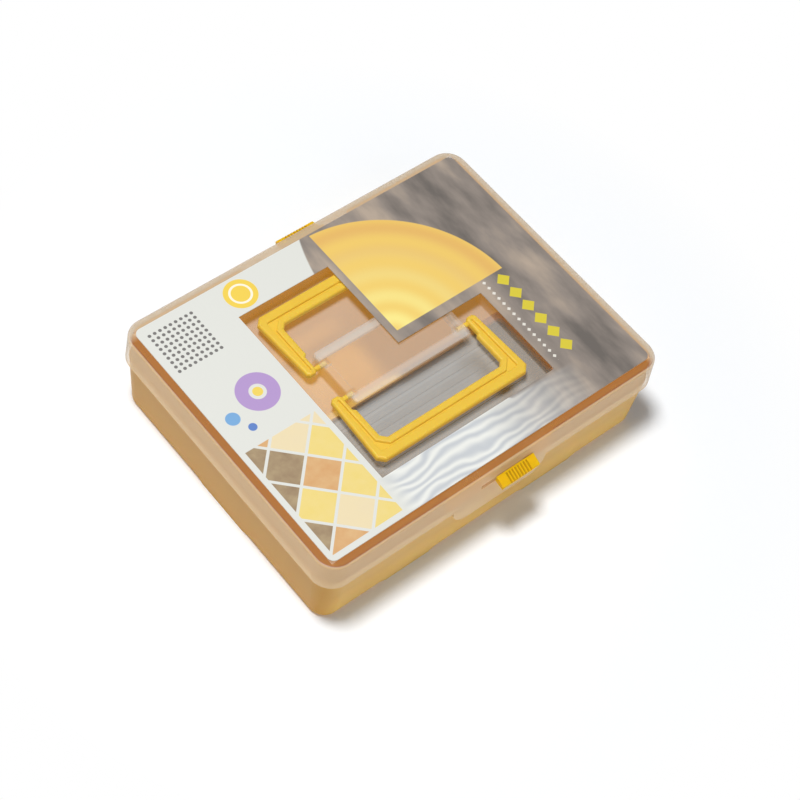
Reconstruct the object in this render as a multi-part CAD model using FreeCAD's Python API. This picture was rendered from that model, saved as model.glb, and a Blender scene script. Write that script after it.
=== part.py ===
"""Whetstone carrying case: a moulded tub with a stone pedestal under a lift-off lid.

The lid has a square recess with a raised block in its middle, and two folding carry handles that
turn on the block. Sliding latches in the long sides hold the lid, and a printed sheet lies on it.

Millimetres. The origin is the middle of the case on the surface that it stands on, +X is along the
length, -Y is the front and +Z is up.
"""

import FreeCAD, Part
import math
import os

V = FreeCAD.Vector

# Whole case
LENGTH = 290.0
WIDTH = 226.6
HEIGHT = 72.0
CLEAR = 0.3

# Lid
LID_TOP = HEIGHT - 0.5
LID_WALL = 1.8
LID_PLATE = 2.0
LID_CORNER = 15.0
LID_EDGE_ROUND = 1.8
SKIRT_BOTTOM = 48.0
SKIRT_FLARE = 1.2
APRON_BOTTOM = 33.0
APRON_HALF = 40.0
APRON_CORNER = 14.0

# Recess in the lid, and the block that the handles turn on
RECESS_CENTRE = (1.0, 1.5)
RECESS_HALF = (77.0, 78.0)
RECESS_CORNER = 9.0
RECESS_FLOOR = 58.5
RECESS_DRAFT = 1.2
BLOCK_CENTRE_Y = 2.6
BLOCK_HALF = (50.5, 24.2)
BLOCK_CORNER = 4.0
BLOCK_TOP = 70.9
BLOCK_ROUND = 2.0
PANEL_HALF = (45.0, 16.2)
PANEL_CORNER = 2.0
PANEL_DEPTH = 0.7
PIN_BOSS_RADIUS = 3.3
PIN_BOSS_LENGTH = 8.0
GATE_MARK_RADIUS = 4.0
GATE_MARK_DEPTH = 0.3
PIN_PLACES = ((-1, -1), (-1, 1), (1, -1), (1, 1))

# Ribs on the recess floor that carry the folded handles' bars
REST_X = 34.0
REST_Y = (57.0, 65.0)
REST_THICK = 1.6

# Tub
WALL_TOP = 50.0
WALL_TOP_HALF = (142.8, 110.9)
WALL_BOTTOM = 1.8
WALL_BOTTOM_HALF = (140.0, 108.1)
WALL_CORNER = 11.5
TUB_EDGE_ROUND = 1.5
NECK_TOP = 69.0
NECK_HALF = (141.2, 109.3)
NECK_CORNER = 12.6
INSIDE_BOTTOM = 4.2
INSIDE_BOTTOM_HALF = (137.6, 105.6)
INSIDE_TOP_HALF = (139.4, 107.4)
INSIDE_CORNER = 9.1

# Bay in the tub's neck behind each latch, with the lug that the latch hooks under
BAY_HALF = 46.0
BAY_BACK = 105.6
BAY_WALL = 1.8
BAY_BOTTOM = 44.0
BAY_RAMP = 6.0
LUG_X = (-26.0, -8.0)
LUG_Z = (55.0, 58.0)
LUG_REACH = 2.1

# Moulded feet under the tub
LONG_FEET = ((-86.0, -48.0), (34.0, 78.0))
SIDE_FOOT = (-26.0, 20.0)
FOOT_DEPTH = 11.0
FOOT_RAMP = 6.0
FOOT_BEVEL = 0.7

# Pedestal, mat and holder for the stone
PEDESTAL_HALF = (109.0, 42.5)
PEDESTAL_Y = -37.5
PEDESTAL_TOP = 16.5
PEDESTAL_CORNER = 5.0
MAT_HALF = (104.0, 37.5)
MAT_THICK = 3.0
MAT_RIB = 0.8
MAT_RIB_WIDTH = 5.2
MAT_RIBS = 9
MAT_MARGIN = 4.0
HOLDER_WALL = 3.6
HOLDER_TOP = 25.0
HOLDER_LIP = 1.5
HOLDER_LIP_THICK = 2.0
HOLDER_CORNER = 6.0
HOLDER_BEVEL = 1.0

# Handles: x from the middle, y outwards from the block's middle
HINGE_OFFSET = 14.5
HINGE_Z = 66.5
PIN_RADIUS = 1.8
PIN_HOLE_RADIUS = 1.85
PIN_IN_BLOCK = 5.2
HANDLE_BOTTOM = 64.7
HANDLE_TOP = 69.5
ARM_END = 11.0
ARM_INNER = 54.1
ARM_INNER_WIDE = 52.1
ARM_STEP = (24.8, 26.8)
ARM_OUTER = 62.4
BAR_HALF = 64.8
BAR_OUTER = 67.7
BAR_INNER = 54.2
BAR_OUTER_CUT = 4.6
BAR_INNER_CUT = 3.6
END_CUT = 2.0
HANDLE_ROUND = 1.8
HANDLE_BEVEL = 0.9

# Groove between a handle's two beads
GROOVE_FLOOR = 67.5
GROOVE_X = (57.1, 58.3)
GROOVE_CORNER_X = 58.9
GROOVE_Y = (59.4, 60.8)
GROOVE_START = ARM_END + 3.6
GROOVE_INNER_CUT = 7.0
GROOVE_OUTER_CUT = 1.2
GROOVE_ROUND = 1.0

# Latches
LATCH_X = 9.7
LATCH_HALF = 16.0
TAB_ROOT = (113.2, 62.0)
TAB_TIP = (121.2, 58.4)
TAB_THICK = 3.0
NECK_HALF_X = 8.0
LATCH_NECK_Z = (57.0, 60.4)
PLATE_Y = (108.0, 110.0)
PLATE_Z = (51.5, 67.0)
HOOK_HALF = 14.0
HOOK_Y = 105.9
HOOK_TOP = 54.5
GRIPS = 8
GRIP_PITCH = 2.45
GRIP_WIDTH = 1.3
GRIP_DEPTH = 0.7
GRIP_SPAN = (-12.0, -1.2)
TAB_ROUND = 0.9

# Printed sheet
CARD_HALF = (137.2, 105.3)
CARD_CORNER = 5.0
CARD_THICK = 0.4
WINDOW = ((-72.7, -75.4), (75.6, -75.4), (75.6, 0.2), (2.7, 0.2), (2.7, 76.3), (-72.7, 76.3))


def box(x, y, z):
    """A box from three (low, high) pairs."""
    return Part.makeBox(x[1] - x[0], y[1] - y[0], z[1] - z[0], V(x[0], y[0], z[0]))


def outline(points, radius):
    """A closed wire through corners rounded to one radius, with the place of each as a vector."""
    edges = []
    ends = []
    count = len(points)
    for i in range(count):
        corner = points[i]
        before = (points[i - 1] - corner).normalize()
        after = (points[(i + 1) % count] - corner).normalize()
        half = before.getAngle(after) / 2
        reach = radius / math.tan(half)
        middle = (before + after).normalize() * (radius / math.sin(half) - radius)
        ends.append((corner + before * reach, corner + middle, corner + after * reach))
    for i in range(count):
        start, middle, end = ends[i]
        edges.append(Part.Arc(start, middle, end).toShape())
        edges.append(Part.LineSegment(end, ends[(i + 1) % count][0]).toShape())
    return Part.Wire(edges)


def flat_outline(points, radius, z):
    """A rounded outline on a level plane, from (x, y) pairs."""
    return outline([V(x, y, z) for x, y in points], radius)


def rectangle(half, radius, z, centre=(0.0, 0.0)):
    x, y = centre
    a, b = half
    return flat_outline([(x - a, y - b), (x + a, y - b), (x + a, y + b), (x - a, y + b)], radius, z)


def slab(half, radius, z, centre=(0.0, 0.0)):
    """A level plate with rounded corners between two heights."""
    face = Part.Face(rectangle(half, radius, z[0], centre))
    return face.extrude(V(0, 0, z[1] - z[0]))


def tapered(low_half, high_half, low_radius, z, centre=(0.0, 0.0)):
    """A block whose walls lean alike on all sides, with cones for corners."""
    low = rectangle(low_half, low_radius, z[0], centre)
    high = rectangle(high_half, low_radius + high_half[0] - low_half[0], z[1], centre)
    return Part.makeLoft([low, high], True, True)


def level_edges(shape, z):
    return [e for e in shape.Edges if all(abs(v.Z - z) < 1e-4 for v in e.Vertexes)]


def profile_along_x(points, x):
    """A (y, z) profile drawn out along X."""
    corners = [V(x[0], y, z) for y, z in points]
    face = Part.Face(Part.makePolygon(corners + corners[:1]))
    return face.extrude(V(x[1] - x[0], 0, 0))


def both_sides(shape):
    """A front piece and the same piece at the rear, mirrored in the XZ plane."""
    return [shape, shape.mirror(V(0, 0, 0), V(0, 1, 0))]


def lid_half(z, inset=0.0):
    """The lid's half length and half width at a height, less an inset."""
    down = (LID_TOP - z) / (LID_TOP - SKIRT_BOTTOM)
    narrower = SKIRT_FLARE * (1 - down) + inset
    return LENGTH / 2 - narrower, WIDTH / 2 - narrower


def skirt_cutter():
    """All that is cut away under the skirt, round the two aprons."""
    low = APRON_BOTTOM - 10.0
    away = box((-200, 200), (-200, 200), (low, SKIRT_BOTTOM))
    top = SKIRT_BOTTOM + 40.0
    corners = [(-APRON_HALF, top), (-APRON_HALF, APRON_BOTTOM), (APRON_HALF, APRON_BOTTOM), (APRON_HALF, top)]
    wire = outline([V(x, -200, z) for x, z in corners], APRON_CORNER)
    return away.cut(Part.Face(wire).extrude(V(0, 400, 0)))


def lid_block():
    """The raised block in the recess, hollow from below, with its four pin bosses."""
    centre = (0.0, BLOCK_CENTRE_Y)
    base = RECESS_FLOOR - LID_WALL
    panel = BLOCK_TOP - PANEL_DEPTH
    outer = slab(BLOCK_HALF, BLOCK_CORNER, (base, BLOCK_TOP), centre)
    outer = outer.makeFillet(BLOCK_ROUND, level_edges(outer, BLOCK_TOP))
    outer = outer.cut(slab(PANEL_HALF, PANEL_CORNER, (panel, BLOCK_TOP + 1), centre))
    gate = V(0, BLOCK_CENTRE_Y, panel - GATE_MARK_DEPTH)
    outer = outer.cut(Part.makeCylinder(GATE_MARK_RADIUS, GATE_MARK_DEPTH + 1, gate))
    inside_half = [half - LID_WALL for half in BLOCK_HALF]
    inside = slab(inside_half, BLOCK_CORNER - LID_WALL, (base, panel - LID_WALL), centre)
    bosses = [pin_cylinder(PIN_BOSS_RADIUS, 0, PIN_BOSS_LENGTH, side, end) for side, end in PIN_PLACES]
    return outer, inside.cut(Part.Compound(bosses))


def pin_cylinder(radius, start, length, side, end):
    """A cylinder on a pin's axis, from a distance outside the block's end inwards."""
    place = V(end * (BLOCK_HALF[0] + start), BLOCK_CENTRE_Y + side * HINGE_OFFSET, HINGE_Z)
    return Part.makeCylinder(radius, start + length, place, V(-end, 0, 0))


def rest_ribs():
    """Short upright ribs on the recess floor, two under each handle's bar."""
    ribs = []
    for x in (-REST_X, REST_X):
        for side in (-1, 1):
            y = sorted(BLOCK_CENTRE_Y + side * reach for reach in REST_Y)
            rib = box((0, REST_THICK), y, (RECESS_FLOOR - 1, HANDLE_BOTTOM - CLEAR))
            rib.translate(V(x - REST_THICK / 2, 0, 0))
            ribs.append(rib)
    return ribs


def lid_shell():
    low = APRON_BOTTOM
    low_corner = LID_CORNER + lid_half(low)[0] - lid_half(LID_TOP)[0]
    outer = tapered(lid_half(low), lid_half(LID_TOP), low_corner, (low, LID_TOP))
    outer = outer.makeFillet(LID_EDGE_ROUND, level_edges(outer, LID_TOP))
    under = LID_TOP - LID_PLATE
    inner = tapered(lid_half(low, LID_WALL), lid_half(under, LID_WALL), low_corner - LID_WALL, (low, under))
    shell = outer.cut(inner).cut(skirt_cutter())
    walls_half = [half + LID_WALL for half in RECESS_HALF]
    low_walls_half = [half - RECESS_DRAFT for half in walls_half]
    floor_half = [half - RECESS_DRAFT for half in RECESS_HALF]
    floor_corner = RECESS_CORNER - RECESS_DRAFT
    walls = tapered(low_walls_half, walls_half, floor_corner + LID_WALL,
                    (RECESS_FLOOR - LID_WALL, LID_TOP - LID_EDGE_ROUND), RECESS_CENTRE)
    recess = tapered(floor_half, RECESS_HALF, floor_corner, (RECESS_FLOOR, LID_TOP), RECESS_CENTRE)
    block, block_inside = lid_block()
    shell = shell.fuse(walls).cut(recess).fuse([block, *rest_ribs()]).cut(block_inside)
    slot_half = LATCH_X + NECK_HALF_X + CLEAR
    slot_z = (LATCH_NECK_Z[0] - CLEAR, LATCH_NECK_Z[1] + CLEAR)
    slots = both_sides(box((-slot_half, slot_half), (-WIDTH / 2 - 1, -BAY_BACK - 3), slot_z))
    holes = [pin_cylinder(PIN_HOLE_RADIUS, 1, PIN_IN_BLOCK + CLEAR, side, end) for side, end in PIN_PLACES]
    return shell.cut(Part.Compound(slots + holes)).removeSplitter()


def foot(span, edge):
    """One foot along the front wall's lower edge, ramped at its ends; edge is the wall's place."""
    start, end = span
    top = WALL_BOTTOM + TUB_EDGE_ROUND
    ramp = FOOT_RAMP
    bevel = FOOT_BEVEL
    corners = [(start - ramp, top), (start, bevel), (start + bevel, 0),
               (end - bevel, 0), (end, bevel), (end + ramp, top)]
    points = [V(x, -edge, z) for x, z in corners]
    face = Part.Face(Part.makePolygon(points + points[:1]))
    return face.extrude(V(0, FOOT_DEPTH, 0))


def feet():
    edge = WALL_BOTTOM_HALF[1]
    made = []
    for span in LONG_FEET:
        made += both_sides(foot(span, edge))
    span = (-SIDE_FOOT[1], -SIDE_FOOT[0])
    left = foot(span, WALL_BOTTOM_HALF[0])
    left.rotate(V(0, 0, 0), V(0, 0, 1), -90)
    return made + [left, left.mirror(V(0, 0, 0), V(1, 0, 0))]


def latch_bay():
    """The inner wall of a front bay, the room cut for the latch, and the lug that it hooks under."""
    half = BAY_HALF + BAY_WALL
    back = BAY_BACK - BAY_WALL
    front = -NECK_HALF[1] + 1
    wall = profile_along_x([(front, BAY_BOTTOM - BAY_RAMP), (-back, BAY_BOTTOM), (-back, NECK_TOP),
                            (front, NECK_TOP)], (-half, half))
    room = box((-BAY_HALF, BAY_HALF), (-WIDTH / 2, -BAY_BACK), (WALL_TOP, NECK_TOP + 1))
    lug = box(LUG_X, (-BAY_BACK - LUG_REACH, -BAY_BACK + 0.5), LUG_Z)
    return wall, room, lug


def base_tub():
    outer = tapered(WALL_BOTTOM_HALF, WALL_TOP_HALF, WALL_CORNER, (WALL_BOTTOM, WALL_TOP))
    outer = outer.makeFillet(TUB_EDGE_ROUND, level_edges(outer, WALL_BOTTOM))
    neck = slab(NECK_HALF, NECK_CORNER, (WALL_TOP, NECK_TOP))
    inside = tapered(INSIDE_BOTTOM_HALF, INSIDE_TOP_HALF, INSIDE_CORNER, (INSIDE_BOTTOM, NECK_TOP))
    tub = outer.fuse(neck).cut(inside)
    wall, room, lug = latch_bay()
    tub = tub.fuse(both_sides(wall)).cut(Part.Compound(both_sides(room))).fuse(both_sides(lug))
    centre = (0.0, PEDESTAL_Y)
    pedestal = slab(PEDESTAL_HALF, PEDESTAL_CORNER, (WALL_BOTTOM + 1, PEDESTAL_TOP), centre)
    hollow_half = [half - LID_WALL for half in PEDESTAL_HALF]
    hollow = slab(hollow_half, PEDESTAL_CORNER - LID_WALL, (WALL_BOTTOM - 1, PEDESTAL_TOP - LID_WALL), centre)
    return tub.fuse(pedestal).fuse(feet()).cut(hollow).removeSplitter()


def stone_mat():
    """The rubber mat, with raised ribs along it."""
    bottom = PEDESTAL_TOP + MAT_THICK - MAT_RIB
    mat = slab(MAT_HALF, MAT_MARGIN, (PEDESTAL_TOP, bottom), (0.0, PEDESTAL_Y))
    first = PEDESTAL_Y - MAT_HALF[1] + MAT_MARGIN
    pitch = (2 * (MAT_HALF[1] - MAT_MARGIN) - MAT_RIB_WIDTH) / (MAT_RIBS - 1)
    x = MAT_HALF[0] - MAT_MARGIN
    ribs = []
    for i in range(MAT_RIBS):
        y = first + i * pitch
        ribs.append(box((-x, x), (y, y + MAT_RIB_WIDTH), (bottom - 0.5, bottom + MAT_RIB)))
    return mat.fuse(ribs).removeSplitter()


def stone_holder():
    """The elastic frame that stands on the pedestal round the mat, with a lip that grips the stone."""
    centre = (0.0, PEDESTAL_Y)
    inner_half = [half + CLEAR for half in MAT_HALF]
    outer_half = [half + HOLDER_WALL for half in inner_half]
    lip_half = [half - HOLDER_LIP for half in inner_half]
    lip_bottom = HOLDER_TOP - HOLDER_LIP_THICK
    frame = slab(outer_half, HOLDER_CORNER, (PEDESTAL_TOP, HOLDER_TOP), centre)
    frame = frame.makeChamfer(HOLDER_BEVEL, level_edges(frame, HOLDER_TOP))
    frame = frame.cut(slab(inner_half, HOLDER_CORNER - HOLDER_LIP, (PEDESTAL_TOP, lip_bottom), centre))
    return frame.cut(slab(lip_half, HOLDER_CORNER - 2 * HOLDER_LIP, (lip_bottom, HOLDER_TOP + 1), centre))


def handle_loop(half):
    """The corners of a whole handle outline from its half with x above 0, as (x, y) pairs in the case."""
    loop = half + [(-x, y) for x, y in reversed(half)]
    return [(x, BLOCK_CENTRE_Y + y) for x, y in loop]


def handle_prism(loop, z):
    corners = [V(x, y, z[0]) for x, y in loop]
    face = Part.Face(Part.makePolygon(corners + corners[:1]))
    return face.extrude(V(0, 0, z[1] - z[0]))


def edges_on(shape, loop, z):
    """The level edges of a shape that lie on the sides of a loop."""
    corners = [V(x, y, z) for x, y in loop]
    middles = [(a + b) / 2 for a, b in zip(corners, corners[1:] + corners[:1])]
    found = []
    for edge in level_edges(shape, z):
        if any((edge.CenterOfMass - middle).Length < 0.3 for middle in middles):
            found.append(edge)
    return found


def rear_handle():
    """A flat bail with two round beads, stepped back beside the block, and a pin on each arm."""
    body = handle_loop([
        (BAR_HALF - BAR_OUTER_CUT, BAR_OUTER), (BAR_HALF, BAR_OUTER - BAR_OUTER_CUT),
        (ARM_OUTER, ARM_END + END_CUT), (ARM_OUTER - END_CUT, ARM_END),
        (ARM_INNER + END_CUT, ARM_END), (ARM_INNER, ARM_END + END_CUT),
        (ARM_INNER, ARM_STEP[0]), (ARM_INNER_WIDE, ARM_STEP[1]),
        (ARM_INNER_WIDE, BAR_INNER - BAR_INNER_CUT), (ARM_INNER_WIDE - BAR_INNER_CUT, BAR_INNER)])
    groove = handle_loop([
        (GROOVE_CORNER_X - GROOVE_OUTER_CUT, GROOVE_Y[1]), (GROOVE_CORNER_X, GROOVE_Y[1] - GROOVE_OUTER_CUT),
        (GROOVE_X[1], GROOVE_START), (GROOVE_X[0], GROOVE_START),
        (GROOVE_X[0], GROOVE_Y[0] - GROOVE_INNER_CUT), (GROOVE_X[0] - GROOVE_INNER_CUT, GROOVE_Y[0])])
    handle = handle_prism(body, (HANDLE_BOTTOM, HANDLE_TOP))
    handle = handle.cut(handle_prism(groove, (GROOVE_FLOOR, HANDLE_TOP + 1)))
    handle = handle.makeFillet(GROOVE_ROUND, edges_on(handle, groove, HANDLE_TOP))
    handle = handle.makeFillet(HANDLE_ROUND, edges_on(handle, body, HANDLE_TOP))
    handle = handle.makeChamfer(HANDLE_BEVEL, level_edges(handle, HANDLE_BOTTOM))
    reach = ARM_INNER + END_CUT - BLOCK_HALF[0] + PIN_IN_BLOCK
    for end in (-1, 1):
        start = V(end * (ARM_INNER + END_CUT), BLOCK_CENTRE_Y + HINGE_OFFSET, HINGE_Z)
        handle = handle.fuse(Part.makeCylinder(PIN_RADIUS, reach, start, V(-end, 0, 0)))
    return handle.removeSplitter()


def front_handle():
    return rear_handle().mirror(V(0, BLOCK_CENTRE_Y, 0), V(0, 1, 0))


def front_latch():
    """A slider: thumb tab outside the skirt, neck through its slot, plate and hook behind it."""
    x = (LATCH_X - LATCH_HALF, LATCH_X + LATCH_HALF)
    root, tip = TAB_ROOT, TAB_TIP
    tab = profile_along_x([(-root[0], root[1]), (-tip[0], tip[1]), (-tip[0] + 0.6, tip[1] - TAB_THICK),
                           (-root[0], root[1] - TAB_THICK - 2.0)], x)
    long_edges = [e for e in tab.Edges if all(abs(v.Y + tip[0]) < 1e-4 for v in e.Vertexes)]
    tab = tab.makeFillet(TAB_ROUND, long_edges)
    slope = math.atan2(root[1] - tip[1], tip[0] - root[0])
    across = GRIP_PITCH * (GRIPS - 1)
    for i in range(GRIPS):
        start = LATCH_X - (across + GRIP_WIDTH) / 2 + i * GRIP_PITCH
        grip = box((start, start + GRIP_WIDTH), GRIP_SPAN, (-GRIP_DEPTH, 2.0))
        grip.rotate(V(0, 0, 0), V(1, 0, 0), math.degrees(slope))
        grip.translate(V(0, -root[0], root[1]))
        tab = tab.cut(grip)
    neck_x = (LATCH_X - NECK_HALF_X, LATCH_X + NECK_HALF_X)
    neck = box(neck_x, (-root[0] - 0.5, -PLATE_Y[1] + 0.5), LATCH_NECK_Z)
    plate = box(x, (-PLATE_Y[1], -PLATE_Y[0]), PLATE_Z)
    hook_x = (LATCH_X - HOOK_HALF, LATCH_X + HOOK_HALF)
    hook = box(hook_x, (-PLATE_Y[0] - 0.5, -HOOK_Y), (PLATE_Z[0], HOOK_TOP))
    return tab.fuse([neck, plate, hook]).removeSplitter()


def rear_latch():
    return front_latch().mirror(V(0, 0, 0), V(0, 1, 0))


def display_card():
    bottom = HEIGHT - CARD_THICK
    sheet = Part.Face(rectangle(CARD_HALF, CARD_CORNER, bottom)).extrude(V(0, 0, CARD_THICK))
    corners = [V(x, y, bottom - 1) for x, y in WINDOW]
    window = Part.Face(Part.makePolygon(corners + corners[:1])).extrude(V(0, 0, CARD_THICK + 2))
    return sheet.cut(window)


PIECES = {
    "base_tub": base_tub,
    "stone_mat": stone_mat,
    "stone_holder": stone_holder,
    "lid_shell": lid_shell,
    "front_handle": front_handle,
    "rear_handle": rear_handle,
    "front_latch": front_latch,
    "rear_latch": rear_latch,
    "display_card": display_card,
}

os.makedirs("parts", exist_ok=True)
for name, make in PIECES.items():
    piece = make()
    piece.exportStep(os.path.join("parts", name + ".step"))
    size = piece.BoundBox
    print(name, piece.isValid(), len(piece.Solids), round(piece.Volume / 1000, 1), "cm3",
          [round(v, 2) for v in (size.XMin, size.XMax, size.YMin, size.YMax, size.ZMin, size.ZMax)])
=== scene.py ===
"""Looks of the whetstone carrying case: finishes for every moulded piece, the printed sheet and the studio."""

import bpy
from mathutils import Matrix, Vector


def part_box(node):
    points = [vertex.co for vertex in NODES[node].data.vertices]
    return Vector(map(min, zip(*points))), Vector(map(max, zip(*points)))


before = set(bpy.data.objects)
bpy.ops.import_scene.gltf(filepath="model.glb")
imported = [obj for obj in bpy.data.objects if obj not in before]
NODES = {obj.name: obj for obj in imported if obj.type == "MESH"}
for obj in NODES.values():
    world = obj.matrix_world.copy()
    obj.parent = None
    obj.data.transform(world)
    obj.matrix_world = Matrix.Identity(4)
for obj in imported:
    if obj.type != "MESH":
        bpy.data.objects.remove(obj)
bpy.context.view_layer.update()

import math

import bpy
from mathutils import Matrix, Vector

bl_info = {
    "name": "Whetstone case",
    "version": (1, 0, 0),
    "blender": (4, 5, 0),
    "location": "View3D > Sidebar > Whetstone case",
    "description": "Dresses the whetstone carrying case and lights it",
    "category": "Object",
}

MM = 0.001

# Places read from the frame, in millimetres
LID_LOW, LID_HIGH = (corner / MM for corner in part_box("lid_shell"))
CARD_LOW, CARD_HIGH = (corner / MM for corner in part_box("display_card"))
MAT_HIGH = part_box("stone_mat")[1] / MM
TUB_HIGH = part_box("base_tub")[1] / MM

# Just inside the lid's outer walls: the centre of its corners, its corner radius at the foot and its lean
LID_CORNER = (128.8, 97.1)
LID_CORNER_RADIUS = 17.6
LID_LEAN = 0.051

# The middle of the tub's wall: the centre of its corners, its corner radius at the foot and its lean
TUB_CORNER = (128.5, 96.6)
TUB_CORNER_RADIUS = 10.3
TUB_LEAN = 0.026

# The latches' grip grooves
GRIP_PITCH = 2.45
GRIP_WIDTH = 1.3


def paint(red, green, blue):
    """A linear colour from the 0 to 255 values that it shows as."""
    def linear(value):
        part = value / 255
        return part / 12.92 if part <= 0.04045 else ((part + 0.055) / 1.055) ** 2.4
    return (linear(red), linear(green), linear(blue), 1.0)


class Num:
    """A number in a shader tree: sums on it add Math nodes."""

    def __init__(self, shader, socket):
        self.shader = shader
        self.socket = socket

    def maths(self, operation, *others, clamp=False):
        return self.shader.maths(operation, self, *others, clamp=clamp)

    def __add__(self, other):
        return self.maths("ADD", other)

    def __radd__(self, other):
        return self.shader.maths("ADD", other, self)

    def __sub__(self, other):
        return self.maths("SUBTRACT", other)

    def __rsub__(self, other):
        return self.shader.maths("SUBTRACT", other, self)

    def __mul__(self, other):
        return self.maths("MULTIPLY", other)

    def __rmul__(self, other):
        return self.shader.maths("MULTIPLY", other, self)

    def __truediv__(self, other):
        return self.maths("DIVIDE", other)

    def __abs__(self):
        return self.maths("ABSOLUTE")

    def root(self):
        return self.maths("SQRT")

    def sine(self):
        return self.maths("SINE")

    def fold(self, period):
        """The distance to the nearest multiple of a period."""
        return self.maths("PINGPONG", period / 2)

    def floor(self):
        return self.maths("FLOOR")

    def least(self, other):
        return self.maths("MINIMUM", other)

    def most(self, other):
        return self.maths("MAXIMUM", other)


class Shader:
    """One material's node tree, with its pattern coordinates in millimetres."""

    MIX_FACTOR, MIX_A, MIX_B, MIX_RESULT = 0, 6, 7, 2

    def __init__(self, name):
        self.material = bpy.data.materials.new(name)
        self.material.use_nodes = True
        self.tree = self.material.node_tree
        self.tree.nodes.clear()
        place = self.node("ShaderNodeTexCoord").outputs["Object"]
        scaled = self.node("ShaderNodeVectorMath", {"operation": "SCALE"}, {0: place, "Scale": 1 / MM})
        self.place = scaled.outputs["Vector"]
        parts = self.node("ShaderNodeSeparateXYZ", {}, {0: self.place})
        self.x, self.y, self.z = (Num(self, parts.outputs[i]) for i in range(3))
        flat = self.node("ShaderNodeVectorMath", {"operation": "MULTIPLY"}, {0: self.place, 1: (1, 1, 0)})
        self.plan = flat.outputs["Vector"]

    def reach(self, centre):
        """Distance in plan from an (x, y) point."""
        spot = (centre[0], centre[1], 0)
        made = self.node("ShaderNodeVectorMath", {"operation": "DISTANCE"}, {0: self.plan, 1: spot})
        return Num(self, made.outputs["Value"])

    def node(self, kind, settings=None, inputs=None):
        """A node of a kind, its settings set first and then the values or links of its sockets."""
        made = self.tree.nodes.new(kind)
        for name, value in (settings or {}).items():
            if name == "stops":
                self.set_stops(made, value)
            else:
                setattr(made, name, value)
        for key, value in (inputs or {}).items():
            self.feed(made.inputs[key], value)
        return made

    def set_stops(self, ramp, stops):
        elements = ramp.color_ramp.elements
        while len(elements) < len(stops):
            elements.new(1.0)
        for element, (place, colour) in zip(elements, stops):
            element.position = place
            element.color = colour

    def feed(self, socket, value):
        if isinstance(value, Num):
            value = value.socket
        if isinstance(value, bpy.types.NodeSocket):
            self.tree.links.new(value, socket)
        else:
            socket.default_value = value

    def maths(self, operation, *values, clamp=False):
        inputs = dict(enumerate(values))
        made = self.node("ShaderNodeMath", {"operation": operation, "use_clamp": clamp}, inputs)
        return Num(self, made.outputs[0])

    def ramp(self, value, stops, interpolation="LINEAR"):
        made = self.node("ShaderNodeValToRGB", {"stops": stops}, {"Fac": value})
        made.color_ramp.interpolation = interpolation
        return made.outputs["Color"]

    def mix(self, factor, first, second):
        inputs = {self.MIX_FACTOR: factor, self.MIX_A: first, self.MIX_B: second}
        made = self.node("ShaderNodeMix", {"data_type": "RGBA"}, inputs)
        return made.outputs[self.MIX_RESULT]

    def noise(self, size, detail=3.0, stretch=(1.0, 1.0, 1.0), turn=0.0):
        """Noise from 0 to 1 whose lumps are about a size in millimetres, stretched along the axes."""
        scale = tuple(1.0 / (size * s) for s in stretch)
        spot = self.node("ShaderNodeMapping", {}, {"Vector": self.place, "Scale": scale, "Rotation": (0, 0, turn)})
        made = self.node("ShaderNodeTexNoise", {}, {"Vector": spot.outputs[0], "Scale": 1.0, "Detail": detail})
        return Num(self, made.outputs["Fac"])

    def edge(self, distance, soft=0.25):
        """1 where a signed distance in millimetres is negative, 0 outside, with a soft edge."""
        return self.maths("MULTIPLY_ADD", distance, -1.0 / soft, 0.5, clamp=True)

    def rise(self, value, low, high):
        """0 below low, 1 above high and a straight slope between them."""
        return self.maths("MULTIPLY_ADD", value, 1.0 / (high - low), -low / (high - low), clamp=True)

    def bump(self, height, depth):
        """A normal from a height of 0 to 1 and its depth in millimetres."""
        inputs = {"Height": height, "Distance": depth * MM, "Strength": 1.0}
        return self.node("ShaderNodeBump", {}, inputs).outputs["Normal"]

    def surface(self, inputs):
        """Ends the tree in a Principled shader."""
        made = self.node("ShaderNodeBsdfPrincipled", {}, inputs)
        self.node("ShaderNodeOutputMaterial", {}, {"Surface": made.outputs[0]})
        return self.material


def swatch(name, description, colour):
    """A colour property of a piece."""
    return bpy.props.FloatVectorProperty(name=name, description=description, subtype="COLOR", size=4, min=0, max=1,
                                         default=colour)


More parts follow.
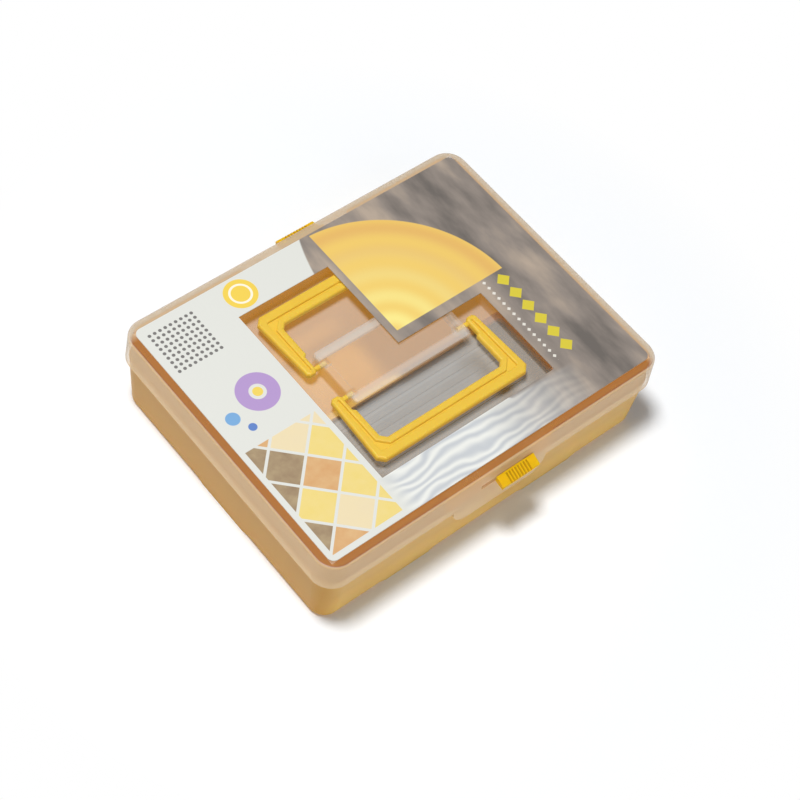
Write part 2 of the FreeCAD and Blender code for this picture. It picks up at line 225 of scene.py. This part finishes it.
class CaseColours(bpy.types.PropertyGroup):
    """Colours of the case, as a user would change them."""
    # Painted light: the tub's inside colour is also the colour of its glowing emission
    tub_inside_glow: swatch("Tub inside", "Bright orange of the tub's inside", (0.75, 0.38, 0.04, 1))
    tub_outside: swatch("Tub outside", "Milky amber of the tub's walls", (0.71, 0.43, 0.12, 1))
    # Painted light: the brighter foot stands in for light glowing through the bottom of the walls
    tub_foot_glow: swatch("Tub foot", "Brighter amber at the tub's foot", (0.96, 0.64, 0.19, 1))
    tub_end: swatch("Tub ends", "Deeper amber of the tub's short ends", (0.56, 0.28, 0.032, 1))
    # Painted shade: the deep orange of the tub's top edge stands in for the shade under the lid and sheet
    tub_rim_shade: swatch("Tub rim", "Deep orange of the tub's upper edge", (0.55, 0.22, 0.04, 1))
    lid: swatch("Lid", "Milky white of the lid", (0.84, 0.81, 0.76, 1))
    # Painted shade: the margin's dark orange-brown stands in for the shaded tub inside seen through the lid
    lid_margin_shade: swatch("Lid margin", "Tint of the lid's top round the sheet", (0.39, 0.135, 0.024, 1))
    # Painted light: the warm tint of the rim and skirt stands in for the tub's orange light within
    lid_skirt_glow: swatch("Lid skirt", "Warmer milk of the lid's rim and skirt", (0.90, 0.65, 0.37, 1))
    lid_far: swatch("Lid far side", "Paler tint of the lid's edge where light falls through it", (0.66, 0.52, 0.35, 1))
    handle: swatch("Handles", "Yellow of the handles", paint(209, 177, 66))
    latch: swatch("Latches", "Yellow of the latches", paint(230, 186, 12))
    mat: swatch("Mat", "Grey of the stone's mat", paint(112, 120, 126))
    holder: swatch("Stone holder", "Yellow of the elastic frame", paint(232, 176, 60))
    paper: swatch("Sheet", "White of the printed sheet", paint(220, 221, 215))


class CaseSizes(bpy.types.PropertyGroup):
    """Strength of the lid's veil and of the tub's painted glow."""
    veil: bpy.props.FloatProperty(name="Veil", description="How milky the flat walls of the lid are", min=0, max=1,
                                  subtype="FACTOR", default=0.17)
    # Painted light: glow is the strength of the emission that makes the tub glow
    glow: bpy.props.FloatProperty(name="Glow", description="Light that the tub's walls let through to its inside",
                                  min=0, max=1, default=0.38)


class CaseView(bpy.types.PropertyGroup):
    """Where the camera stands."""
    azimuth: bpy.props.FloatProperty(name="Azimuth", description="Direction of view, from +Y towards +X",
                                     unit="ROTATION", default=math.radians(48.63))
    elevation: bpy.props.FloatProperty(name="Elevation", description="Height of the camera above the floor",
                                       unit="ROTATION", default=math.radians(55.36))
    roll: bpy.props.FloatProperty(name="Roll", description="Turn of the picture", unit="ROTATION",
                                  default=math.radians(11.69))
    distance: bpy.props.FloatProperty(name="Distance", description="From the camera to the aim point",
                                      unit="LENGTH", default=1.3296)
    lens: bpy.props.FloatProperty(name="Lens", description="Focal length in millimetres", default=90.3)


def rounded(shader, corner, radius):
    """Distance outside a rounded rectangle in plan, from the centre of its corner and its corner radius."""
    across = (abs(shader.x) - corner[0]).most(0)
    along = (abs(shader.y) - corner[1]).most(0)
    return (across * across + along * along).root() - radius


def dress(node, material):
    """Gives a CAD node a material in each of its slots."""
    for slot in NODES[node].material_slots:
        slot.material = material


class CASE_OT_camera(bpy.types.Operator):
    """Sets up the camera at the photograph's viewing angle"""
    bl_idname = "case.camera"
    bl_label = "Camera"

    def execute(self, context):
        view = context.scene.case_view
        aim = Vector((-0.0268, -0.0100, 0.0535))
        a, e, r = view.azimuth, view.elevation, view.roll
        ahead = Vector((math.sin(a) * math.cos(e), math.cos(a) * math.cos(e), -math.sin(e)))
        level = Vector((math.cos(a), -math.sin(a), 0.0))
        upright = level.cross(ahead)
        right = level * math.cos(r) + upright * math.sin(r)
        up = upright * math.cos(r) - level * math.sin(r)
        camera = bpy.data.objects.new("camera", bpy.data.cameras.new("camera"))
        camera.data.lens = view.lens
        camera.data.sensor_width = 36.0
        camera.data.shift_x = 0.0369
        camera.data.shift_y = -0.0133
        turn = Matrix((right, up, -ahead)).transposed().to_4x4()
        camera.matrix_world = Matrix.Translation(aim - ahead * view.distance) @ turn
        context.scene.collection.objects.link(camera)
        context.scene.camera = camera
        return {"FINISHED"}


class CASE_OT_stage(bpy.types.Operator):
    """Makes the white floor, the soft lamps and the world"""
    bl_idname = "case.stage"
    bl_label = "Floor and light"

    def execute(self, context):
        half = 3.0
        mesh = bpy.data.meshes.new("floor")
        mesh.from_pydata([(-half, -half, 0), (half, -half, 0), (half, half, 0), (-half, half, 0)], [], [(0, 1, 2, 3)])
        floor = bpy.data.objects.new("floor", mesh)
        context.scene.collection.objects.link(floor)
        mesh.materials.append(self.floor_material())
        self.lamp(context, "key", (-0.44, 0.20, 2.5), 0.5, 58.0)
        self.lamp(context, "fill", (-0.45, -2.1, 1.6), 1.8, 8.5)
        self.world(context)
        context.scene.view_settings.view_transform = "Standard"
        return {"FINISHED"}

    def seen(self, shader):
        """1 for what the camera sees, directly, in gloss or through a clear wall."""
        path = shader.node("ShaderNodeLightPath").outputs
        names = ("Is Camera Ray", "Is Glossy Ray", "Is Transmission Ray")
        camera, glossy, through = (Num(shader, path[name]) for name in names)
        return camera.most(glossy).most(through)

    def floor_material(self):
        shader = Shader("floor")
        diffuse = shader.node("ShaderNodeBsdfDiffuse", {}, {"Color": (0.94, 0.97, 1.0, 1)})
        glow = shader.node("ShaderNodeEmission", {}, {"Color": (1, 1, 1, 1), "Strength": 1.0})
        share = self.seen(shader) * shader.rise(shader.reach((0, 0)), 215, 320).most(0.06)
        mixed = shader.node("ShaderNodeMixShader", {}, {0: share, 1: diffuse.outputs[0], 2: glow.outputs[0]})
        shader.node("ShaderNodeOutputMaterial", {}, {"Surface": mixed.outputs[0]})
        return shader.material

    def lamp(self, context, name, place, size, power):
        """A square soft lamp aimed at the case."""
        light = bpy.data.lights.new(name, "AREA")
        light.size = size
        light.energy = power
        lamp = bpy.data.objects.new(name, light)
        lamp.location = place
        lamp.rotation_euler = (Vector((0, 0, 0.03)) - Vector(place)).to_track_quat("-Z", "Y").to_euler()
        context.scene.collection.objects.link(lamp)

    def world(self, context):
        world = bpy.data.worlds.new("studio")
        world.use_nodes = True
        nodes = world.node_tree.nodes
        nodes["Background"].inputs["Color"].default_value = (1, 1, 1, 1)
        path = nodes.new("ShaderNodeLightPath")
        level = nodes.new("ShaderNodeMapRange")
        level.inputs["To Min"].default_value = 0.12
        level.inputs["To Max"].default_value = 1.0
        world.node_tree.links.new(path.outputs["Is Camera Ray"], level.inputs["Value"])
        world.node_tree.links.new(level.outputs["Result"], nodes["Background"].inputs["Strength"])
        context.scene.world = world


class CASE_OT_tub(bpy.types.Operator):
    """Gives the tub its milky amber plastic: darker inside under a painted glow, painted light towards the foot,
    painted shade on its top edge and deeper short ends
    """
    bl_idname = "case.tub"
    bl_label = "Tub"

    def execute(self, context):
        colours = context.scene.case_colours
        shader = Shader("amber_plastic")
        outside = rounded(shader, TUB_CORNER, TUB_CORNER_RADIUS + shader.z * TUB_LEAN)
        outside = 1 - shader.edge(outside, 0.8)
        # Painted light: the walls turn brighter towards the foot, along a wandering line, for light from the floor
        # glowing through them
        low = 1 - shader.rise(shader.z + shader.noise(40.0, 2.0) * 14, 6.0, 34.0)
        skin = shader.mix(low, tuple(colours.tub_outside), tuple(colours.tub_foot_glow))
        end = shader.rise(abs(shader.x), 126, 139) * (1 - shader.rise(shader.z, 36, 60) * 0.5)
        skin = shader.mix(end, skin, tuple(colours.tub_end))
        # Painted shade: the tub's top edge is darkened to deep orange for the shade under the lid and sheet
        skin = shader.mix(shader.rise(shader.z, TUB_HIGH.z - 1.5, TUB_HIGH.z - 0.5), skin, tuple(colours.tub_rim_shade))
        # Painted light: the tub glows with its own emission, in the inside colour on its inside and at a quarter of
        # its skin colour outside, in place of light let through its walls; under that glow the inside's base colour is
        # darkened to 0.65
        inside = tuple(colours.tub_inside_glow)
        colour = shader.mix(outside, tuple(c * 0.65 for c in inside[:3]) + (1.0,), skin)
        grain = shader.noise(0.7, 2.0)
        material = shader.surface({
            "Base Color": colour,
            "Emission Color": shader.mix(outside, inside, shader.mix(0.25, (0, 0, 0, 1), skin)),
            "Emission Strength": context.scene.case_sizes.glow,
            "Roughness": 0.32 + grain * 0.1,
            "Subsurface Weight": 0.4,
            "Subsurface Radius": (1.0, 0.45, 0.12),
            "Subsurface Scale": 0.004,
            "Specular IOR Level": 0.2,
            "Normal": shader.bump(grain, 0.008),
        })
        dress("base_tub", material)
        return {"FINISHED"}


class CASE_OT_lid(bpy.types.Operator):
    """Gives the lid its frosted plastic, milkier on its edges than on its flat walls, with painted light on its rim
    and skirt and painted shade round the sheet
    """
    bl_idname = "case.lid"
    bl_label = "Lid"

    def execute(self, context):
        colours = context.scene.case_colours
        shader = Shader("frosted_plastic")
        veil = context.scene.case_sizes.veil
        rim = 1 - shader.edge(rounded(shader, LID_CORNER, LID_CORNER_RADIUS - shader.z * LID_LEAN), 0.8)
        top = shader.rise(shader.z, LID_HIGH.z - 2.4, LID_HIGH.z - 0.6)
        edge = rim * top
        skirt = rim * (1 - top)
        cloud = shader.noise(35.0, 2.0)
        # Painted shade: the lid's top round the sheet is tinted dark orange-brown for the shaded tub inside seen
        # through it, turning to the paler far-side tint, painted light, at the rear and right
        beyond_card = (abs(shader.x) - CARD_HIGH.x).most(abs(shader.y) - CARD_HIGH.y)
        margin = (1 - shader.edge(beyond_card, 0.8)) * top * (1 - rim)
        recess = 1 - shader.rise(shader.z, 59.5, 62.0)
        alpha = veil + skirt * (0.6 - veil) + edge * (0.55 - veil) + margin * (0.62 - veil)
        band = shader.edge(abs(shader.x) - 49.0, 1.0) * shader.edge(abs(abs(shader.y - 2.6) - 20.0) - 3.4, 1.0)
        band = band * shader.rise(shader.z, 62, 68)
        alpha = alpha + band * 0.15 + recess * (1 - rim) * 0.03 + (cloud - 0.5) * 0.04
        far = shader.rise(shader.y, 98, 105).most(shader.rise(shader.x, 132, 139))
        strip = shader.mix(far, tuple(colours.lid_margin_shade), tuple(colours.lid_far))
        # Painted light: the rim and skirt take a warm tint for the tub's orange light within, paler at the rear and
        # right
        colour = shader.mix(rim, tuple(colours.lid), shader.mix(far, tuple(colours.lid_skirt_glow), tuple(colours.lid_far)))
        colour = shader.mix(margin, colour, strip)
        grain = shader.noise(0.8, 2.0)
        material = shader.surface({
            "Base Color": colour,
            "Roughness": 0.3 + grain * 0.12,
            "Alpha": alpha,
            # Painted light: the rim glows faintly in its own colour
            "Emission Color": shader.mix(rim, (0, 0, 0, 1), colour),
            "Emission Strength": 0.06,
            "Specular IOR Level": 0.35,
            "Normal": shader.bump(grain * (1 - rim), 0.006),
        })
        dress("lid_shell", material)
        return {"FINISHED"}


def yellow_plastic(name, colour, glow, groove_shade=None):
    """Opaque moulded yellow with a faint flow pattern, a painted glow that lightens its shaded sides and, where a
    groove mask is given, painted shade that darkens its grooves.
    """
    shader = Shader(name)
    flow = shader.noise(22.0, 3.0, (1.0, 0.4, 1.0))
    deep = tuple(c * f for c, f in zip(colour, (0.97, 0.9, 0.7, 1)))
    tinted = shader.mix(flow, tuple(colour), deep)
    if groove_shade:
        # Painted shade: the yellow is darkened where the given groove mask is 1
        tinted = shader.mix(groove_shade(shader), tinted, tuple(c * f for c, f in zip(colour, (0.66, 0.58, 0.5, 1))))
    grain = shader.noise(0.4, 2.0)
    return shader.surface({
        "Base Color": tinted,
        "Roughness": 0.3 + flow * 0.14,
        # Painted light: the yellow glows with its own emission, which lightens its shaded sides
        "Emission Color": tinted,
        "Emission Strength": glow,
        "Subsurface Weight": 0.4,
        "Subsurface Radius": (1.0, 0.55, 0.1),
        "Subsurface Scale": 0.003,
        "Specular IOR Level": 0.35,
        "Normal": shader.bump(grain, 0.012),
    })


class CASE_OT_handles(bpy.types.Operator):
    """Gives both carry handles their yellow plastic"""
    bl_idname = "case.handles"
    bl_label = "Handles"

    def execute(self, context):
        # Painted light: the handles glow at 0.3 of their colour
        material = yellow_plastic("handle_plastic", context.scene.case_colours.handle, 0.3)
        dress("front_handle", material)
        dress("rear_handle", material)
        return {"FINISHED"}


class CASE_OT_latches(bpy.types.Operator):
    """Gives both sliding latches their deeper yellow plastic"""
    bl_idname = "case.latches"
    bl_label = "Latches"

    def execute(self, context):
        # Painted light and shade: the latches glow faintly, and painted shade darkens their grip grooves
        material = yellow_plastic("latch_plastic", context.scene.case_colours.latch, 0.06, self.groove_shade)
        dress("front_latch", material)
        dress("rear_latch", material)
        return {"FINISHED"}

    def groove_shade(self, shader):
        """1 in the eight grip grooves of each tab, where painted shade darkens the yellow."""
        low, high = (corner.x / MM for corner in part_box("front_latch"))
        across = shader.x - (low + high) / 2
        line = (across + GRIP_PITCH / 2).fold(GRIP_PITCH) - GRIP_WIDTH / 2
        span = shader.edge(abs(across) - 4 * GRIP_PITCH) * shader.edge(abs(abs(shader.y) - 117.8) - 3.6, 0.4)
        face = shader.rise(shader.z + (abs(shader.y) - 113.2) * 0.45, 60.6, 61.0)
        return shader.edge(line, 0.3) * span * face


class CASE_OT_stone_bed(bpy.types.Operator):
    """Finishes the stone's mat and holder"""
    bl_idname = "case.stone_bed"
    bl_label = "Stone bed"

    def execute(self, context):
        colours = context.scene.case_colours
        dress("stone_mat", self.rubber("mat_rubber", colours.mat, 0.6, MAT_HIGH.z - 0.4))
        dress("stone_holder", self.rubber("holder_rubber", colours.holder, 0.5, 0.0))
        return {"FINISHED"}

    def rubber(self, name, colour, roughness, lightened_below):
        """Matt rubber, paler in dusty patches and, below a height, paler in the grooves as painted light that evens
        out their shade.
        """
        shader = Shader(name)
        grain = shader.noise(0.6, 3.0)
        # Dust in patches, and painted light that lifts the grooves below the given height
        dust_and_groove_light = shader.noise(18.0, 4.0).most(1 - shader.rise(shader.z, lightened_below - 0.3, lightened_below + 0.3))
        pale = tuple(min(c * 1.5 + 0.01, 1.0) for c in colour[:3]) + (1.0,)
        return shader.surface({
            "Base Color": shader.mix(dust_and_groove_light, tuple(colour), pale),
            "Roughness": roughness + grain * 0.2,
            "Normal": shader.bump(grain, 0.05),
        })


class CASE_OT_card(bpy.types.Operator):
    """Prints the sheet with its own generic pattern and gives it a glossy film"""
    bl_idname = "case.card"
    bl_label = "Printed sheet"

    def execute(self, context):
        shader = Shader("printed_sheet")
        paper = tuple(context.scene.case_colours.paper)
        colour = self.field(shader, paper)
        for draw in (self.fan, self.beads, self.diamonds, self.discs, self.dots):
            colour = draw(shader, colour)
        printed = shader.rise(shader.z, CARD_LOW.z + 0.15, CARD_LOW.z + 0.25)
        material = shader.surface({
            "Base Color": shader.mix(printed, paper, colour),
            "Roughness": 0.55,
            "Specular IOR Level": 0.25,
            "Coat Weight": 0.1,
            "Coat Roughness": 0.35,
        })
        dress("display_card", material)
        return {"FINISHED"}

    def field(self, shader, paper):
        """White paper that a large arc parts from a streaky dark field, a black print lightened to greys by painted
        reflection, and waves on the front strip.
        """
        streaks = shader.noise(20.0, 4.0, (1.0, 3.0, 1.0), math.radians(24))
        # Painted reflection: the dark field is a black print, and its streaky greys stand in for the sheen of light on
        # it
        dark = shader.ramp(streaks, [(0.30, paint(107, 101, 96)), (0.5, paint(144, 134, 126)), (0.7, paint(178, 162, 146))])
        arc = shader.edge(shader.reach((150, 40)) - 163, 1.0)
        bend = shader.noise(30.0, 2.0, (1.6, 1.0, 1.0)) * 26
        wave = (shader.y + bend) * (math.tau / 6.5)
        wavy = shader.mix(wave.sine() * 0.5 + 0.5, paint(196, 200, 204), paint(232, 233, 228))
        wavy = shader.mix(shader.rise(shader.x, 4, 92), wavy, dark)
        front = shader.edge(shader.y + 75 + shader.x * 0.04, 3.0) * shader.rise(shader.x, -76, -64)
        return shader.mix(front, shader.mix(arc, paper, dark), wavy)

    def fan(self, shader, under):
        """Quarter rings in yellows round the inner corner of the window."""
        reach = shader.reach((4, 6))
        band = (reach * (math.tau / 19)).sine() * 0.5 + 0.5
        glow = shader.mix(shader.rise(reach, 20, 104), paint(244, 228, 138), paint(222, 170, 92))
        tone = shader.mix(band * 0.8, glow, paint(236, 200, 104))
        shape = shader.edge(reach - 98, 0.6) * shader.rise(shader.x, 8.0, 8.4) * shader.rise(shader.y, 8.0, 8.4)
        return shader.mix(shape, under, tone)

    def beads(self, shader, under):
        """A row of yellow diamonds along the right strip, and a row of small white ones beside it."""
        large = abs(shader.x - 96) + shader.y.fold(13.0) - 5.6
        small = abs(shader.x - 83) + shader.y.fold(5.2) - 1.5
        span = shader.edge(abs(shader.y + 32.5) - 39, 0.3)
        under = shader.mix(shader.edge(large) * span, under, paint(214, 198, 62))
        return shader.mix(shader.edge(small) * span, under, paint(226, 222, 212))

    def diamonds(self, shader, under):
        """A field of diamonds in warm tones on the left strip."""
        pitch = 24.0
        turned = [(shader.x + shader.y * sign) * math.sqrt(0.5) for sign in (1, -1)]
        gap = (1 - shader.edge(turned[0].fold(pitch) - 1.0)) * (1 - shader.edge(turned[1].fold(pitch) - 1.0))
        cell = shader.node("ShaderNodeCombineXYZ", {}, {i: (t / pitch).floor() for i, t in enumerate(turned)})
        pick = shader.node("ShaderNodeTexWhiteNoise", {}, {"Vector": cell.outputs[0]}).outputs["Value"]
        tone = shader.ramp(pick, [(0.0, paint(232, 208, 112)), (0.3, paint(206, 148, 92)), (0.6, paint(126, 98, 78)),
                                  (0.8, paint(230, 214, 178))], "CONSTANT")
        tone = shader.mix(shader.noise(9.0, 4.0) * 0.5, tone, paint(236, 218, 170))
        span = shader.edge(abs(shader.x + 105) - 28, 0.3) * shader.edge(abs(shader.y + 56) - 45, 0.3)
        return shader.mix(gap * span, under, tone)

    def discs(self, shader, under):
        """Lilac ring with a yellow middle, two blue drops, and a yellow disc on the rear strip."""
        ring = abs(shader.reach((-98, 22)) - 10.5) - 4.5
        under = shader.mix(shader.edge(ring), under, paint(178, 150, 202))
        marks = (((-98, 22), 3.6, paint(236, 208, 96)), ((-124, 14), 5.0, paint(120, 168, 214)),
                 ((-117, 2), 3.0, paint(96, 130, 196)), ((-60, 91), 12.0, paint(238, 206, 84)))
        for centre, radius, tone in marks:
            under = shader.mix(shader.edge(shader.reach(centre) - radius), under, tone)
        loop = abs(shader.reach((-60, 91)) - 7.5) - 0.8
        return shader.mix(shader.edge(loop), under, paint(246, 240, 220))

    def dots(self, shader, under):
        """A grid of grey dots in the rear left corner."""
        across = shader.x.fold(4.2)
        along = shader.y.fold(4.2)
        dot = (across * across + along * along).root() - 1.25
        span = shader.edge(abs(shader.x + 113.4) - 18.9, 0.3) * shader.edge(abs(shader.y - 79.8) - 18.9, 0.3)
        return shader.mix(shader.edge(dot) * span, under, paint(120, 118, 116))


class CASE_PT_panel(bpy.types.Panel):
    """Lists the steps that dress the case"""
    bl_idname = "CASE_PT_panel"
    bl_label = "Whetstone case"
    bl_space_type = "VIEW_3D"
    bl_region_type = "UI"
    bl_category = "Whetstone case"

    def draw(self, context):
        for step in STEPS:
            self.layout.operator(step.bl_idname)
        for group in (context.scene.case_colours, context.scene.case_sizes, context.scene.case_view):
            for name in group.__annotations__:
                self.layout.prop(group, name)


STEPS = (CASE_OT_camera, CASE_OT_stage, CASE_OT_tub, CASE_OT_lid, CASE_OT_handles, CASE_OT_latches,
         CASE_OT_stone_bed, CASE_OT_card)
GROUPS = {"case_colours": CaseColours, "case_sizes": CaseSizes, "case_view": CaseView}


def register():
    for kind in (*GROUPS.values(), *STEPS, CASE_PT_panel):
        bpy.utils.register_class(kind)
    for name, kind in GROUPS.items():
        setattr(bpy.types.Scene, name, bpy.props.PointerProperty(type=kind))


def unregister():
    for name in GROUPS:
        delattr(bpy.types.Scene, name)
    for kind in (CASE_PT_panel, *reversed(STEPS), *GROUPS.values()):
        bpy.utils.unregister_class(kind)


def main():
    register()
    for step in STEPS:
        module, name = step.bl_idname.split(".")
        getattr(getattr(bpy.ops, module), name)()


if __name__ == "__main__":
    main()
